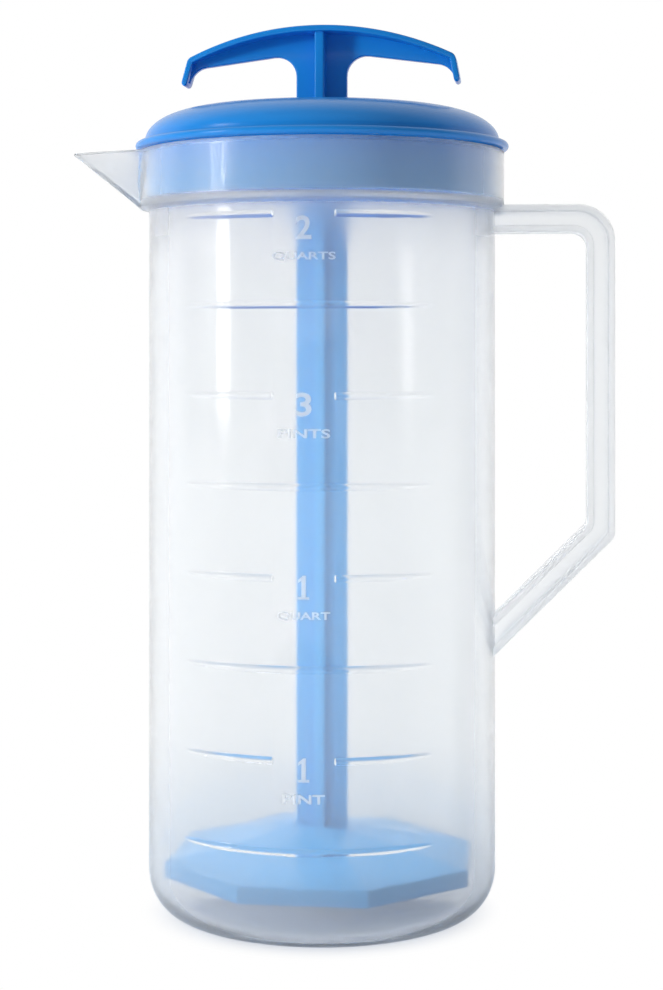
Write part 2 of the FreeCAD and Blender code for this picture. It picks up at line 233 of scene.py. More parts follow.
# light on its way into or out of the jug passes its wall with a small loss
def letLightThrough(nodes, links, shader, tint):
    path, through = nodes.new("ShaderNodeLightPath"), nodes.new("ShaderNodeBsdfTransparent")
    most, mix = nodes.new("ShaderNodeMath"), nodes.new("ShaderNodeMixShader")
    most.operation = "MAXIMUM"
    through.inputs["Color"].default_value = tint + (1,)
    links.new(path.outputs["Is Shadow Ray"], most.inputs[0])
    links.new(path.outputs["Is Diffuse Ray"], most.inputs[1])
    links.new(most.outputs[0], mix.inputs[0])
    links.new(shader.outputs[0], mix.inputs[1])
    links.new(through.outputs[0], mix.inputs[2])
    links.new(mix.outputs[0], nodes["Material Output"].inputs["Surface"])


# painted light: what stands below the top height at rest, inside the milky jug, is painted a paler
# blue that fades in over the fade height, standing in for the brighter light there
def paintInsideLight(nodes, links, place, colour, look):
    axes, below = nodes.new("ShaderNodeSeparateXYZ"), nodes.new("ShaderNodeMapRange")
    shade = nodes.new("ShaderNodeMix")
    shade.data_type = "RGBA"
    below.inputs["From Min"].default_value = look["paintedInsideLightTop"]
    below.inputs["From Max"].default_value = look["paintedInsideLightTop"] - look["paintedInsideLightFade"]
    links.new(place.outputs["Object"], axes.inputs[0])
    links.new(axes.outputs["Z"], below.inputs["Value"])
    links.new(below.outputs["Result"], shade.inputs[0])
    links.new(colour, shade.inputs[6])
    shade.inputs[7].default_value = look["paintedInsideLight"] + (1,)
    return shade.outputs[2]


# a Principled material whose colour, roughness and ripple come from the moulded skin
def mouldedPlastic(name, look):
    material = bpy.data.materials.new(name)
    material.use_nodes = True
    nodes, links = material.node_tree.nodes, material.node_tree.links
    shader = nodes["Principled BSDF"]
    shader.inputs["IOR"].default_value = look["ior"]
    shader.inputs["Transmission Weight"].default_value = look["clear"]
    shader.inputs["Subsurface Weight"].default_value = look["scatter"]
    shader.inputs["Subsurface Radius"].default_value = look["scatterRadius"]
    shader.inputs["Subsurface Scale"].default_value = look["scatterScale"]
    place, effect = nodes.new("ShaderNodeTexCoord"), nodes.new("ShaderNodeGroup")
    stretch, bump = nodes.new("ShaderNodeMapping"), nodes.new("ShaderNodeBump")
    effect.node_tree = mouldedSkin
    stretch.inputs["Scale"].default_value = look["stretch"]
    effect.inputs["Light Colour"].default_value = look["light"] + (1,)
    effect.inputs["Deep Colour"].default_value = look["deep"] + (1,)
    effect.inputs["Cloud Scale"].default_value = look["cloudScale"]
    effect.inputs["Ripple Scale"].default_value = look["rippleScale"]
    effect.inputs["Smooth"].default_value = look["smooth"]
    effect.inputs["Rough"].default_value = look["rough"]
    bump.inputs["Strength"].default_value = look["ripple"]
    bump.inputs["Distance"].default_value = look["rippleHeight"]
    links.new(place.outputs["Object"], stretch.inputs["Vector"])
    links.new(stretch.outputs["Vector"], effect.inputs["Vector"])
    colour = effect.outputs["Colour"]
    # parts inside the milky jug get a painted paler blue, standing in for the brighter light there
    if "paintedInsideLight" in look:
        colour = paintInsideLight(nodes, links, place, colour, look)
    links.new(colour, shader.inputs["Base Color"])
    frost, rough = nodes.new("ShaderNodeAttribute"), nodes.new("ShaderNodeMix")
    frost.attribute_name = "frost"
    links.new(frost.outputs["Fac"], rough.inputs[0])
    links.new(effect.outputs["Roughness"], rough.inputs[2])
    rough.inputs[3].default_value = look["frosted"]
    links.new(rough.outputs[0], shader.inputs["Roughness"])
    links.new(effect.outputs["Height"], bump.inputs["Height"])
    links.new(bump.outputs["Normal"], shader.inputs["Normal"])
    if look["clear"] > 0:
        letLightThrough(nodes, links, shader, look["passes"])
    return material


jugLook = {
    "light": (0.941, 0.947, 0.947),
    "deep": (0.925, 0.932, 0.934),
    "cloudScale": 18.0,
    "rippleScale": 260.0,
    "stretch": (1.0, 1.0, 0.25),
    "smooth": 0.075,
    "rough": 0.11,
    "frosted": 0.55,
    "ripple": 0.10,
    "rippleHeight": 0.00008,
    "ior": 1.49,
    "clear": 0.885,
    "passes": (0.95, 0.96, 0.97),
    "scatter": 1.0,
    "scatterRadius": (1.0, 1.0, 1.0),
    "scatterScale": 0.003,
}
figureLook = dict(jugLook, clear=0.6)  # the letters' rounded tops scatter more light
handleLook = dict(jugLook, clear=0.87, ripple=0.0, ior=1.3)  # seen as one milky bar
blueLook = {
    "light": (0.008, 0.262, 0.76),
    "deep": (0.006, 0.228, 0.67),
    "cloudScale": 22.0,
    "rippleScale": 320.0,
    "stretch": (1.0, 1.0, 1.0),
    "paintedInsideLight": (0.052, 0.312, 0.64),  # painted light: a paler blue for the brighter light on the parts inside the milky jug
    "paintedInsideLightTop": 0.2425,
    "paintedInsideLightFade": 0.02,
    "smooth": 0.18,
    "rough": 0.30,
    "frosted": 0.34,
    "ripple": 0.2,
    "rippleHeight": 0.00010,
    "ior": 1.43,
    "clear": 0.0,
    "scatter": 0.0,
    "scatterRadius": (0.2, 0.6, 1.0),
    "scatterScale": 0.001,
}
jugPlastic = mouldedPlastic("milkyJugPlastic", jugLook)
figurePlastic = mouldedPlastic("raisedFigurePlastic", figureLook)
handlePlastic = mouldedPlastic("frostedHandlePlastic", handleLook)
bluePlastic = mouldedPlastic("blueLidPlastic", blueLook)
print("materials made")


jug = {
    "radius": 55.0,
    "wall": 1.9,
    "floor": 2.9,
    "heelWidth": 11.0,
    "heelHeight": 14.0,
    "collarRadius": 57.8,
    "collarBottom": 221.4,
    "ledgeSlope": 0.7,
    "rim": 240.2,
    "rimRound": 0.7,
    "spoutTip": 80.9,
    "spoutTipHeight": 240.8,
    "spoutFoot": 221.8,
    "spoutHalfRoot": 18.0,
    "spoutHalfAngle": 40.0,
    "spoutWall": 1.5,
    "spoutBlend": 0.9,
    "tipBlend": 0.7,
    "lineCount": 8,
    "lineSpacing": 26.709,
    "lineZero": 3.71,
    "lineHeight": 2.3,
    "lineProud": 0.9,
    "lineHalfAngle": 41.5,
    "lineHalfGap": 9.2,
    "lineSpan": 1.2,
    "gapFade": 0.3,
    "lineEase": 0.6,
    "lineThin": 0.3,
    "lineRows": (0.2, 0.5, 0.8, 1.1, 1.35),
    "rowBetween": 13.3,
    "baseRows": (6.0, 20.0, 32.0, 40.0),
    "floorRows": (32.0, 18.0, 6.0),
    "ledgeFoot": ((0.0, -0.6), (0.12, -0.2), (0.5, 0.0)),
    "ledgeEdge": ((-0.6, -0.2), (-0.15, 0.0)),
    "deepTop": 205.0,
    "frostLift": 1.2,
    "frostLedge": 1.8,
    "frostSpout": 0.5,
    "frostFade": 0.6,
    "frostRim": 0.8,
}
lineHeights = jug["lineZero"] + jug["lineSpacing"] * np.arange(1, jug["lineCount"] + 1)


# angles round the jug: 1.5 degree steps, closer at the spout and at the gaps in the lines
def jugAngles():
    gapEdge = math.degrees(jug["lineHalfGap"] / jug["radius"])
    near = np.concatenate([[0.12, 0.3, 0.6], np.arange(1, 24.1, 0.5)])
    gap = np.array([-0.45, -0.2, 0.0, 0.25]) + gapEdge
    degrees = np.concatenate([np.arange(0, 360, 1.5), 180 + near, 180 - near, 270 + gap, 270 - gap])
    return np.radians(np.unique(np.round(degrees, 4)))


# radius at which the V of the spout is met, along each angle and at each height: a plane
# through the tip, the foot of the keel and the root of the top edge, moved inwards by inset
def spoutRadius(angles, heights, inset):
    rootReach = math.sqrt(jug["collarRadius"] ** 2 - jug["spoutHalfRoot"] ** 2)
    rise = jug["spoutTipHeight"] - jug["rim"]
    share = (jug["spoutTip"] - rootReach) / (jug["spoutTip"] - jug["collarRadius"])
    tip = np.array([-jug["spoutTip"], 0, jug["spoutTipHeight"]])
    foot = np.array([-jug["collarRadius"], 0, jug["spoutFoot"]])
    root = np.array([-rootReach, jug["spoutHalfRoot"], jug["spoutTipHeight"] - rise * share])
    normal = np.cross(foot - tip, root - tip)
    normal /= np.linalg.norm(normal)
    if normal[0] > 0:
        normal = -normal
    level = normal @ tip - inset
    away = np.abs(np.angle(np.exp(1j * (angles - math.pi))))
    sides = []
    for side in (away, -away):
        across = -normal[0] * np.cos(side) + normal[1] * np.sin(side)
        # across stays away from zero where the V turns past the collar's side
        sides.append((level - normal[2] * heights) / np.maximum(across, 0.2))
    wedge = -softMax(-sides[0], -sides[1], jug["tipBlend"])
    return np.where(away < math.radians(jug["spoutHalfAngle"]), wedge, 0.0)


# how far the measuring lines stand out: a ring set forward, so that it fades at its ends,
# times a smooth hump over the line's height, left out in the gap of every second line
def lineRelief(angles, heights):
    reach = jug["radius"] + jug["lineProud"]
    flat = jug["radius"] * math.cos(math.radians(jug["lineHalfAngle"]))
    forward = (reach ** 2 - jug["radius"] ** 2) / (2 * (reach - flat))
    apex = reach - forward
    fromFront = np.angle(np.exp(1j * (angles + math.pi / 2)))
    ring = forward * np.cos(fromFront) + np.sqrt(apex ** 2 - (forward * np.sin(fromFront)) ** 2)
    ring = np.maximum(ring - jug["radius"], 0) / jug["lineProud"]
    proud = jug["lineProud"] * ring ** jug["lineEase"] * (np.abs(fromFront) < jug["lineSpan"])
    pastGap = (np.abs(fromFront) * jug["radius"] - jug["lineHalfGap"]) / jug["gapFade"]
    outside = np.clip(pastGap + 0.5, 0, 1)
    relief = np.zeros(np.broadcast(angles, heights).shape)
    for i, height in enumerate(lineHeights):
        here = proud * outside if i % 2 == 1 else proud
        full = jug["lineThin"] + (1 - jug["lineThin"]) * here / jug["lineProud"]
        half = jug["lineHeight"] / 2 * full
        hump = np.clip(1 - ((heights - height) / half) ** 2, 0, 1)
        relief = np.maximum(relief, here * hump)
    return relief


# rows from the middle of the base, up the outside, over the rim and down to the floor inside.
# Each row is (kind, radius, height), and the rim's rows give their share of the way over it as the
# radius. Rows of a kind are moved out by the lines or the spout. The small offsets, here and in
# the rows of the lid and the disc, round the edges of the moulding
def jugRows():
    r, wall, floor = jug["radius"], jug["wall"], jug["floor"]
    bottom, top, inner = jug["collarBottom"], jug["rim"], jug["radius"] - jug["wall"]
    collar, bore = jug["collarRadius"], jug["collarRadius"] - jug["wall"]
    heel = r - jug["heelWidth"]
    innerHeel = inner - (jug["heelWidth"] - wall)
    rows = [("plain", x, 0.0) for x in jug["baseRows"]]
    rows += [("plain", x, z) for x, z in
             quarterArc((heel, 0), (r, 0), (r, jug["heelHeight"]), 16)]
    across = np.array(jug["lineRows"])
    offsets = np.concatenate([-across[::-1], [0], across, [-jug["rowBetween"]]])
    heights = np.sort((lineHeights[:, None] + offsets).ravel())
    heights = heights[(heights > jug["heelHeight"] + 1) & (heights < bottom - 1.2)]
    rows.append(("wall", r, jug["heelHeight"]))
    rows += [("wall", r, z) for z in heights]
    slope = jug["ledgeSlope"]
    rows += [("wall", r + x, bottom + z) for x, z in jug["ledgeFoot"]]
    rows += [("collar", collar + x, bottom + slope + z) for x, z in jug["ledgeEdge"]]
    rows += [("collar", collar, z) for z in np.linspace(bottom + slope + 0.4, top - 1.4, 22)]
    rows += [("rim", t, 0.0) for t in np.linspace(0, 1, 7)]
    ledgeTop = bottom + wall
    rows += [("bore", bore, z) for z in np.linspace(top - 0.9, ledgeTop + slope + 0.5, 22)]
    rows += [("deep", bore, ledgeTop + slope), ("deep", inner + 0.2, ledgeTop + 0.1),
             ("deep", inner, ledgeTop - 0.3)]
    rows += [("deep", inner, z) for z in np.linspace(jug["deepTop"], floor + jug["heelHeight"], 9)]
    rows += [("deep", x, z) for x, z in
             quarterArc((inner, jug["heelHeight"]), (inner, floor), (innerHeel, floor), 12)]
    rows += [("deep", x, floor) for x in (innerHeel,) + jug["floorRows"]]
    return rows


# outline of the collar and spout at each height, outside or by the wall's thickness inside: the
# larger of the collar's circle and the spout's V. Towards the rim the V is looked up higher, so
# that the rounded lip ends close to the tip
def collarOutline(angles, heights, outside):
    share = (heights - jug["collarBottom"]) / (jug["rim"] - jug["collarBottom"])
    inset = 0.0 if outside else jug["spoutWall"]
    circle = jug["collarRadius"] - (0.0 if outside else jug["wall"])
    wedge = spoutRadius(angles, heights + jug["rimRound"] * share, inset)
    return softMax(circle, wedge, jug["spoutBlend"])


# the jug's skin: each row is a circle, moved out by the lines on the wall and by the spout's
# outline on the collar. The rim is half a ring from the outer to the inner lip, and all of it
# rises with the lip towards the spout's tip
def jugGrid():
    angles = jugAngles()
    rise = jug["spoutTipHeight"] - jug["rim"]
    collar = jug["collarRadius"]
    lip = jug["rim"] - jug["rimRound"]
    reach = (collarOutline(angles, lip, True) - collar) / (jug["spoutTip"] - collar)
    lift = rise * np.clip(reach, 0, 1)
    outerLip, innerLip = (collarOutline(angles, lip + lift, side) for side in (True, False))
    rows = []
    for kind, radius, height in jugRows():
        z = np.full_like(angles, height)
        if kind in ("collar", "bore"):
            z = z + lift * (height - jug["collarBottom"]) / (lip - jug["collarBottom"])
        if kind == "wall":
            r = radius + lineRelief(angles, height)
        elif kind in ("collar", "bore"):
            outline = collarOutline(angles, z, kind == "collar")
            r = outline + radius - collar + (0.0 if kind == "collar" else jug["wall"])
        elif kind == "rim":
            turn = radius * math.pi
            r = (outerLip + innerLip) / 2 + (outerLip - innerLip) / 2 * math.cos(turn)
            z = lip + lift + jug["rimRound"] * math.sin(turn) ** 0.6
        else:
            r = np.full_like(angles, radius)
        rows.append(ringRow(angles, r, z))
    return np.stack(rows)


# thick or drawn-out places of the wall look frosted: the ledge, the spout and the rim
def jugFrost(points):
    r, z = np.hypot(points[:, 0], points[:, 1]), points[:, 2]
    ledge = np.exp(-((z - jug["collarBottom"] - jug["frostLift"]) / jug["frostLedge"]) ** 2)
    past = (r - jug["collarRadius"] - 0.05) / jug["frostFade"]
    spout = jug["frostSpout"] * np.clip(past, 0, 1)
    rim = np.clip((z - jug["rim"] + 2 * jug["frostRim"]) / jug["frostRim"], 0, 1)
    return np.maximum(np.maximum(ledge, spout), rim)


jugShell = makePiece("jug_shell", [skin(jugGrid(), "fan")], jugPlastic, 38, jugFrost)
declare(jugShell, "jug", "jug_plastic", "jug_body", "pour_spout")
print("jug shell made")


figures = {
    "digitHeight": 7.0,
    "digitWidth": 4.6,
    "wordHeight": 2.7,
    "letterWidth": 3.1,
    "proud": 0.5,
    "digitDrop": 2.5,
    "wordDrop": 11.0,
    "topDrop": 1.6,
    "sink": 0.05,
    "weight": 0.02,
    "one": [(-0.36, 0), (0.36, 0), (0.36, 0.1), (0.14, 0.1), (0.14, 1), (-0.04, 1), (-0.34, 0.82),
            (-0.34, 0.7), (-0.14, 0.79), (-0.14, 0.1), (-0.36, 0.1)],
}


# text made a mesh and wrapped on the jug: along the text is the angle, up is the height, and
# the letters' thickness stands out from the wall
def wrappedText(text, width, height, z):
    curve = bpy.data.curves.new("figure", "FONT")
    curve.body = text
    curve.align_x = "CENTER"
    curve.align_y = "CENTER"
    curve.extrude = 1.0
    curve.offset = figures["weight"]
    curve.resolution_u = 4
    flat = bpy.data.objects.new("figure", curve)
    scene.collection.objects.link(flat)
    bpy.context.view_layer.update()
    mesh = bpy.data.meshes.new_from_object(flat.evaluated_get(
        bpy.context.evaluated_depsgraph_get()))
    points = np.empty(len(mesh.vertices) * 3)
    mesh.vertices.foreach_get("co", points)
    points = points.reshape(-1, 3)
    faces = [list(p.vertices) for p in mesh.polygons]
    bpy.data.objects.remove(flat)
    bpy.data.curves.remove(curve)
    bpy.data.meshes.remove(mesh)
    low, high = points.min(axis=0), points.max(axis=0)
    across = (points[:, 0] - (low[0] + high[0]) / 2) * width / (high[0] - low[0])
    up = (points[:, 1] - (low[1] + high[1]) / 2) * height / (high[1] - low[1])
    r = jug["radius"] + np.where(points[:, 2] > 0, figures["proud"], -figures["sink"])
    angle = across / jug["radius"]
    return np.stack([r * np.sin(angle), -r * np.cos(angle), z + up], axis=1), faces


# a "1" with a flag and a foot, as the built-in font's own is a plain bar
def wrappedOne(width, height, z):
    outline = np.array(figures["one"]) * (width, height) - (0, height / 2)
    n = len(outline)
    across, up = np.vstack([outline, outline]).T
    r = jug["radius"] + np.repeat((figures["proud"], -figures["sink"]), n)
    angle = across / jug["radius"]
    faces = [list(range(n)), list(range(2 * n - 1, n - 1, -1))]
    faces += [[i, i + n, (i + 1) % n + n, (i + 1) % n] for i in range(n)]
    return np.stack([r * np.sin(angle), -r * np.cos(angle), z + up], axis=1), faces


# a digit over a unit word at every second line
def figureSkins():
    skins = []
    for line, digit, word in ((7, "2", "QUARTS"), (5, "3", "PINTS"), (3, "1", "QUART"),
                              (1, "1", "PINT")):
        height = lineHeights[line] - (figures["topDrop"] if digit == "2" else 0)
        size = figures["digitWidth"], figures["digitHeight"], height - figures["digitDrop"]
        skins.append(wrappedOne(*size) if digit == "1" else wrappedText(digit, *size))
        skins.append(wrappedText(word, figures["letterWidth"] * len(word), figures["wordHeight"],
                                 height - figures["wordDrop"]))
    return skins


scaleFigures = makePiece("scale_figures", figureSkins(), figurePlastic, 30)
declare(scaleFigures, "jug", "jug_plastic")
print("figures made")


handle = {
    "reach": 37.3,
    "bar": 8.6,
    "halfWidth": 7.5,
    "top": 222.8,
    "lowerEnd": 81.7,
    "outerCorner": 11.5,
    "innerCorner": 4.6,
    "elbow": 4.0,
    "flange": 2.0,
    "halfWeb": 1.1,
    "round": 0.55,
    "webRound": 0.7,
    "rootDepth": 6.0,
    "sink": 0.15,
    "frost": 0.7,
}


# one edge of the bar in XZ, depth inside the outer one: out along the top, down, and back to the
# jug at 45 degrees, both corners rounded by n points, so that any two edges match point by point
def handleEdge(depth, cornerRadius, elbowRadius, n=12):
    outer = jug["radius"] + handle["reach"] - depth
    top = handle["top"] - depth
    stretch = math.sqrt(2)
    lift = handle["lowerEnd"] - jug["radius"] + depth * stretch
    inside = jug["radius"] - handle["rootDepth"]
    corners = [(inside, top, 0), (outer, top, cornerRadius),
               (outer, outer + lift, elbowRadius), (inside, inside + lift, 0)]
    return roundedPath(corners, n, closed=False)


# I section: depth from the outer edge of the bar, and the side it is on, with rounded corners
def handleSection():
    bar, half, flange, web = (handle["bar"], handle["halfWidth"], handle["flange"],
                              handle["halfWeb"])
    e, f = handle["round"], handle["webRound"]
    corners = [(0, -half, e), (0, half, e), (flange, half, e), (flange, web, f),
               (bar - flange, web, f), (bar - flange, half, e), (bar, half, e),
               (bar, -half, e), (bar - flange, -half, e), (bar - flange, -web, f),
               (flange, -web, f), (flange, -half, e)]
    return roundedPath(corners, 4)


# each point of the section lies between the outer and the inner edge, by its depth in the bar
def handleGrid():
    section = handleSection()
    outer = handleEdge(0, handle["outerCorner"], handle["elbow"])
    inner = handleEdge(handle["bar"], handle["innerCorner"], handle["elbow"])
    share = section[:, 0] / handle["bar"]
    xz = outer[:, None] + (inner - outer)[:, None] * share[None, :, None]
    y = np.broadcast_to(section[:, 1], xz.shape[:2])
    x, z = xz[..., 0].copy(), xz[..., 1].copy()
    # the two ends stop on the jug's wall, or on its collar where they reach up to it
    ledge = np.clip((z - jug["collarBottom"]) / jug["ledgeSlope"], 0, 1)
    radius = jug["radius"] + (jug["collarRadius"] - jug["radius"]) * ledge
    wall = np.sqrt(radius ** 2 - y ** 2) - handle["sink"]
    for row, sign in ((0, 0.0), (-1, 1.0)):
        z[row] += sign * (wall[row] - x[row])
        x[row] = wall[row]
    return np.stack([x, y, z], axis=-1)


carryHandle = makePiece("carry_handle_grip", [skin(handleGrid(), "face")], handlePlastic, 30,
                        lambda points: np.full(len(points), handle["frost"]))
declare(carryHandle, "jug", "jug_plastic", "carry_handle")
print("handle made")


stem = {
    "halfSpan": 8.1,
    "halfDepth": 7.5,
    "halfRib": 1.5,
    "turn": -1.5,
    "round": 0.5,
    "bottom": 25.5,
    "peg": 5.0,
    "pegTip": 3.2,
    "pegBead": 0.8,
    "pegBeadTop": 8.4,
    "pegSlot": 1.2,
}
lid = {
    "flangeRadius": 59.3,
    "flangeBottom": 240.5,
    "flangeTop": 242.9,
    "skirtRadius": 55.6,
    "skirtBottom": 225.0,
    "wall": 1.8,
    "domeRadius": 56.3,
    "domeFlat": 40.0,
    "top": 253.2,
    "guideRadius": 12.0,
    "guideBottom": 244.2,
    "clearance": 0.35,
    "holeRound": 0.5,
    "holeBlend": 11.0,
    "guideBlend": 10.4,
    "topRows": (14.0, 24.0, 33.0),
    "skirtRows": (236.0, 230.0),
    "innerRow": 231.0,
    "roofRow": 26.0,
}


# radius of the plus-shaped hole along each angle: the end of an arm, or the side of one
def plusRadius(angles, halfX, halfY, halfRib):
    c, s = np.abs(np.cos(angles)), np.abs(np.sin(angles))
    c, s = np.maximum(c, 1e-9), np.maximum(s, 1e-9)
    armX = np.minimum(halfX / c, halfRib / s)
    armY = np.minimum(halfY / s, halfRib / c)
    return np.maximum(armX, armY)


# angles round the lid: 2.5 degree steps, closer at the corners of the plus-shaped hole
def lidAngles():
    room = lid["clearance"]
    rib = stem["halfRib"] + room
    endX = math.degrees(math.atan2(rib, stem["halfSpan"] + room))
    endY = 90 - math.degrees(math.atan2(rib, stem["halfDepth"] + room))
    quarter = np.concatenate([np.arange(0, 90, 2.5), [endX, 45, endY], endX + np.array([3, 7]),
                              endY - np.array([3, 7])])
    degrees = np.concatenate([quarter + 90 * k for k in range(4)] +
                             [90 * k - quarter for k in range(4)])
    return np.radians(np.unique(np.round(degrees % 360, 3)))


# rows (share, radius, height): share 0 follows the hole's edge, 1 is a true circle
def lidRows():
    r, top, wall = lid["domeRadius"], lid["top"], lid["wall"]
    flangeTop, flangeBottom, edge = lid["flangeTop"], lid["flangeBottom"], lid["flangeRadius"]
    bead = (flangeTop - flangeBottom) / 2
    skirt, inner, e = lid["skirtRadius"], lid["skirtRadius"] - lid["wall"], lid["holeRound"]
    domeInner = r - wall
    rows = [(0, 0.0, top - 2.0), (0, 0.0, top - e), (0, 0.15 * e, top - 0.35 * e),
            (0, 0.5 * e, top - 0.08 * e), (0, 1.2 * e, top)]
    rows += [(0.5, lid["holeBlend"], top)] + [(1, x, top) for x in lid["topRows"]]
    rows += [(1, x, z) for x, z in quarterArc((lid["domeFlat"] - 3, top), (r, top),
                                              (r, flangeTop + 0.5), 26)]
    rows += [(1, r, flangeTop + 0.5), (1, r + 0.12, flangeTop + 0.15), (1, r + 0.5, flangeTop)]
    rows += [(1, edge - bead + bead * math.cos(t), flangeTop - bead + bead * math.sin(t))
             for t in np.linspace(math.pi / 2, -math.pi / 2, 11)]
    rows += [(1, skirt + 0.4, flangeBottom), (1, skirt, flangeBottom - 0.4)]
    rows += [(1, skirt, z) for z in lid["skirtRows"] + (lid["skirtBottom"] + 0.6,)]
    rows += [(1, skirt - 0.2, lid["skirtBottom"] + 0.15), (1, skirt - 0.6, lid["skirtBottom"]),
             (1, inner + 0.4, lid["skirtBottom"]), (1, inner, lid["skirtBottom"] + 0.4)]
    rows += [(1, inner, z) for z in (lid["innerRow"], flangeBottom)]
    rows += [(1, x, z) for x, z in quarterArc((domeInner, flangeTop), (domeInner, top - wall),
                                              (lid["domeFlat"], top - wall), 14)]
    rows += [(1, x, top - wall) for x in (lid["domeFlat"], lid["roofRow"], lid["guideRadius"] + 0.6)]
    rows += [(1, lid["guideRadius"], top - wall - 0.6), (1, lid["guideRadius"], lid["guideBottom"]),
             (0.5, lid["guideBlend"], lid["guideBottom"]), (0, 0.0, lid["guideBottom"])]
    return rows


# the lid's skin: each row lies between the plus-shaped hole and a circle, by its share
def lidGrid():
    angles = lidAngles()
    room = lid["clearance"]
    hole = plusRadius(angles, stem["halfSpan"] + room, stem["halfDepth"] + room,
                      stem["halfRib"] + room)
    rows = []
    for share, radius, height in lidRows():
        r = hole + radius if share == 0 else share * radius + (1 - share) * hole
        if share == 0.5:
            r = np.maximum(r, hole + 0.8)
        rows.append(ringRow(angles, r, height))
    return np.stack(rows)


lidCap = makePiece("lid_cap", turned([skin(lidGrid(), "wrap")], stem["turn"]), bluePlastic)
declare(lidCap, "lid", "blue_plastic", "lid")
print("lid made")


grip = {
    "top": 279.7,
    "arcRadius": 102.0,
    "halfSpan": 42.8,
    "flange": 1.9,
    "halfWidth": 9.0,
    "halfEnd": 4.5,
    "lensSpan": 44.4,
    "footSteps": (0, 0.04, 0.1, 0.2, 0.5),
    "footShrink": (0.35, 0.75, 0.94),
    "tabDrop": 17.9,
    "tabLean": 10.0,
    "leftOut": 0.8,
    "corner": 2.5,
    "rootDrop": 8.1,
    "rootFillet": 6.3,
    "endDrop": 12.5,
    "endFillet": 6.0,
    "round": 0.5,
}


# corners of the grip's outer line: foot, corner and top arc, which has 2 x n + 1 points
def gripLine(depth, n=28):
    centre = grip["top"] - grip["arcRadius"]
    radius = grip["arcRadius"] - depth
    cornerZ = centre + math.sqrt(grip["arcRadius"] ** 2 - grip["halfSpan"] ** 2)
    lean = math.tan(math.radians(grip["tabLean"]))
    foot = grip["top"] - grip["tabDrop"]
    x = np.linspace(-grip["halfSpan"] + depth, grip["halfSpan"] - depth, 2 * n + 1)
    arc = np.stack([x, centre + np.sqrt(radius ** 2 - x ** 2)], axis=1)
    footX = grip["halfSpan"] + (cornerZ - foot) * lean - depth
    return arc, (footX, foot), cornerZ, lean


# the flange: a thin bar whose width is a lens in plan, bent down at both ends
def gripFlange():
    middle = grip["flange"] / 2
    arc, foot = gripLine(middle)[:2]
    corners = [(-foot[0] - grip["leftOut"], foot[1], 0),
               (arc[0, 0], arc[0, 1], grip["corner"] - middle)]
    corners += [(x, z, 0) for x, z in arc[2:-2]]
    corners += [(arc[-1, 0], arc[-1, 1], grip["corner"] - middle), (foot[0], foot[1], 0)]
    line = roundedPath(corners, 8, closed=False)
    # the feet get more rows near their ends, which shrink towards them
    ends = [line[0] + (line[1] - line[0]) * t for t in grip["footSteps"]]
    others = [line[-1] + (line[-2] - line[-1]) * t for t in grip["footSteps"][::-1]]
    line = np.vstack([ends, line[1:-1], others])
    along = np.gradient(line, axis=0)
    along /= np.linalg.norm(along, axis=1, keepdims=True)
    normal = np.stack([-along[:, 1], along[:, 0]], axis=1)
    narrowing = (grip["halfWidth"] - grip["halfEnd"]) * (line[:, 0] / grip["lensSpan"]) ** 2
    half = grip["halfWidth"] - narrowing
    e = grip["round"]
    t = np.linspace(0, math.pi / 2, 5)
    quarter = np.stack([np.cos(t), np.sin(t)], axis=1)
    signs = ((1, 1), (-1, 1), (-1, -1), (1, -1))
    rows = []
    shrink = np.ones(len(line))
    shrink[[0, 1, 2]] = shrink[[-1, -2, -3]] = grip["footShrink"]
    for k in range(len(line)):
        h, w = middle * shrink[k], half[k] - middle * (1 - shrink[k])
        ring = []
        for i, (sy, sn) in enumerate(signs):
            arcPoints = quarter if i % 2 == 0 else quarter[::-1]
            ring.append(np.stack([sy * (w - e + e * arcPoints[:, 0]),
                                  sn * (h - min(e, h) + min(e, h) * arcPoints[:, 1])], axis=1))
        ring = np.vstack(ring)
        xz = line[k] + normal[k] * ring[:, 1:2]
        rows.append(np.stack([xz[:, 0], ring[:, 0], xz[:, 1]], axis=-1))
    return skin(np.stack(rows), "face")


# web of the grip and the stem's wide rib in one plate, with rounded roots and ends
def webPlate():
    arc, foot, cornerZ, lean = gripLine(grip["flange"] * 0.3)
    innerFoot = gripLine(grip["flange"])[1]
    endZ = grip["top"] - grip["endDrop"]
    tabX = grip["halfSpan"] + (cornerZ - endZ) * lean - grip["flange"]
    half = stem["halfSpan"]
    left = [(-half, stem["bottom"], 0), (-half, grip["top"] - grip["rootDrop"], grip["rootFillet"]),
            (-tabX, endZ, grip["endFillet"]), (-innerFoot[0], innerFoot[1] + 1, 0),
            (-foot[0], foot[1] + 1, 0)]
    right = [(-x, z, r) for x, z, r in reversed(left)]
    outline = roundedPath(left + [(x, z, 0) for x, z in arc] + right, 9)
    return plate(outline, stem["halfRib"], stem["round"])


# the stem's other rib, which runs from the disc up into the grip's flange
def crossPlate():
    half, low, high = stem["halfDepth"], stem["bottom"], grip["top"] - grip["flange"] * 0.8
    outline = np.array([(-half, low), (half, low), (half, high), (-half, high)])
    points, faces = plate(outline, stem["halfRib"], stem["round"], 6)
    # the plate is made in XZ, and a quarter turn about Z brings it into YZ
    return np.stack([-points[:, 1], points[:, 0], points[:, 2]], axis=1), faces


# half of the split peg: a circle cut by the slot, its radius following the bead
def pegHalf(side):
    heights = np.array([stem["pegTip"], stem["pegBeadTop"] - 0.2, stem["pegBeadTop"],
                        stem["pegBeadTop"] + 0.15, 20.0, stem["bottom"] + 0.5])
    radii = stem["peg"] + np.array([-stem["pegBead"], stem["pegBead"], stem["pegBead"] * 0.8, 0, 0, 0])
    rows = []
    for r, z in zip(radii, heights):
        edge = math.acos(stem["pegSlot"] / r)
        t = np.linspace(-edge, edge, 21)
        arc = np.stack([side * r * np.cos(t), r * np.sin(t), np.full_like(t, z)], axis=-1)
        rows.append(arc)
    return skin(np.stack(rows), "face")


